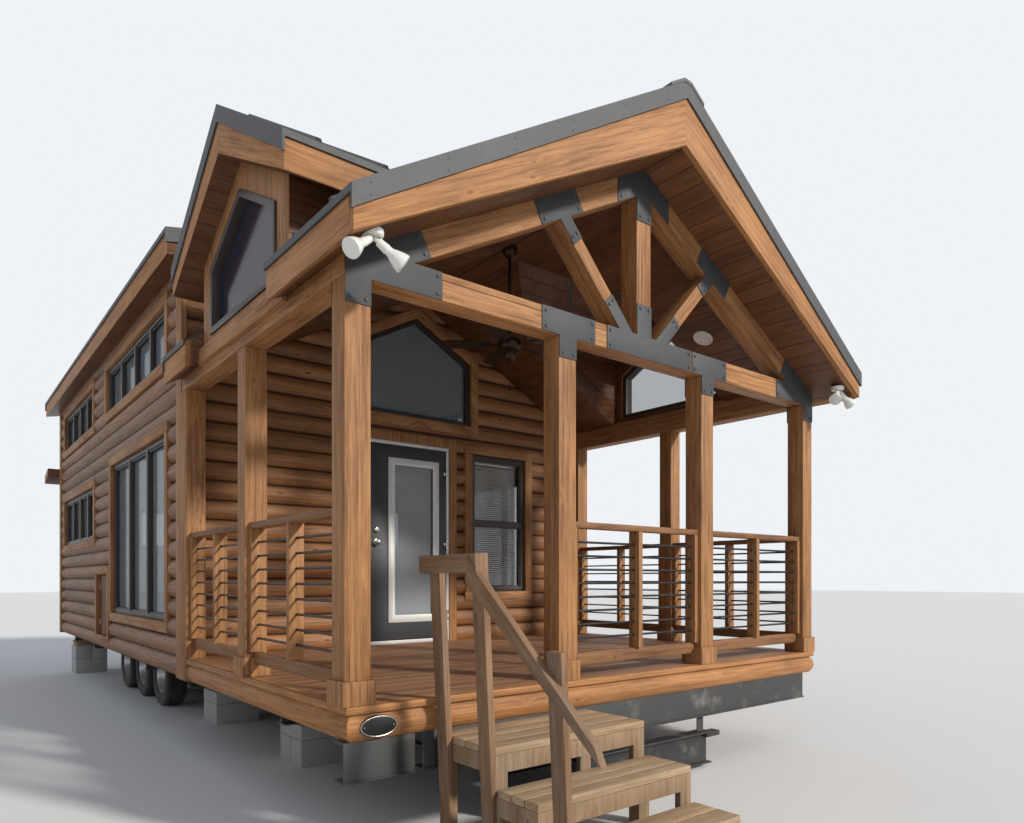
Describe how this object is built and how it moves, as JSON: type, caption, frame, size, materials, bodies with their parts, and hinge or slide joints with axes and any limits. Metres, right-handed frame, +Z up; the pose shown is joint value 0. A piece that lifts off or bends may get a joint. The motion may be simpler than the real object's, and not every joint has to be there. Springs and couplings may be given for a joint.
{
  "type": "tiny house on wheels",
  "caption": "Log-sided tiny house on a wheeled chassis, with a covered timber porch under a trussed gable, side dormers, a loft, railings and a small stair",
  "frame": {"origin": "on the ground, under the middle of the bounding box", "axes": "+X to the right as one faces the porch, +Y from the porch towards the rear, +Z up"},
  "size_m": [4.592, 10.97, 4.4498],
  "materials": {
    "chassis_steel": "dusty black paint",
    "wheel_rim": "silver paint",
    "tyre": "worn rubber",
    "pier_block": "rough grey concrete block",
    "floor_timber": "plain sawn timber",
    "deck_timber": "stained deck boards",
    "stained_timber": "brown stained timber",
    "log_siding": "brown stained half-log siding",
    "pine_boards": "stained tongue and groove boards",
    "black_steel": "satin black",
    "railing_paint": "stained timber with dark bars",
    "roof_metal": "dark bronze ribbed sheet",
    "bronze_frame": "dark bronze paint",
    "window_glass": "grey tinted glass",
    "door_glass": "clear glass",
    "white_frame": "white paint",
    "door_paint": "dark grey paint",
    "hinge_steel": "brushed steel",
    "stained_panel": "brown stained panel",
    "fan_body": "oiled bronze",
    "fan_blade": "dark stained blades",
    "lamp_white": "white lamp housings",
    "stair_timber": "weathered treated timber",
    "badge_metal": "bare oval plate"
  },
  "bodies": {
    "house": {"axles": "chassis_steel", "badge_plate": "badge_metal", "chassis_crossmembers": "chassis_steel", "chassis_rails": "chassis_steel", "corner_boards": "stained_timber", "door_casing": "stained_timber", "door_jamb": "white_frame", "dormer_roof_metal": "roof_metal", "dormer_roofs": "pine_boards", "dormer_walls": "stained_timber", "dormer_window_frames": "bronze_frame", "fan_mount": "fan_body", "flood_lights": "lamp_white", "front_channel": "chassis_steel", "front_gable": "log_siding", "front_railings": "railing_paint", "front_wall_left": "log_siding", "front_wall_right": "log_siding", "hinge_plates": "hinge_steel", "hitch_bar": "chassis_steel", "house_floor": "floor_timber", "king_post": "stained_timber", "leaf_springs": "chassis_steel", "left_wall": "log_siding", "loft_floor": "floor_timber", "main_roof": "pine_boards", "main_roof_metal": "roof_metal", "pier_blocks": "pier_block", "porch_deck": "deck_timber", "porch_fascia": "stained_timber", "porch_joists": "floor_timber", "porch_posts": "stained_timber", "porch_rim": "stained_timber", "porch_roof": "pine_boards", "porch_roof_metal": "roof_metal", "post_collars": "stained_timber", "rear_pent_metal": "roof_metal", "rear_pent_roof": "pine_boards", "rear_wall": "log_siding", "right_wall": "log_siding", "side_beams": "stained_timber", "side_railings": "railing_paint", "stair_frame": "stair_timber", "stair_handrail": "stair_timber", "stair_treads": "stair_timber", "tie_beam": "stained_timber", "truss_chords": "stained_timber", "truss_plates": "black_steel", "truss_webs": "stained_timber", "tyres": "tyre", "wheel_rims": "wheel_rim", "window_casings": "stained_timber", "window_frames": "bronze_frame", "window_glass": "window_glass"},
    "front_door": {"door_leaf": "door_paint", "door_lite_frame": "white_frame", "door_glass": "door_glass", "door_hardware": "black_steel"},
    "service_door": {"service_door": "stained_panel"},
    "fan_rotor": {"fan_rotor": "fan_blade"}
  },
  "joints": [
    {"name": "front_door_hinge", "type": "hinge", "parent": "house", "child": "front_door", "pos_m": [0.3235, -1.44, 0.788], "axis": [0, 0, 1], "range_deg": [0, 100]},
    {"name": "service_door_hinge", "type": "hinge", "parent": "house", "child": "service_door", "pos_m": [-2.095, 2.1715, 0.72], "axis": [0, 0, -1], "range_deg": [0, 90]},
    {"name": "fan_spin", "type": "hinge", "parent": "house", "child": "fan_rotor", "pos_m": [0, -2.835, 3.25], "axis": [0, 0, 1], "continuous": true}
  ]
}
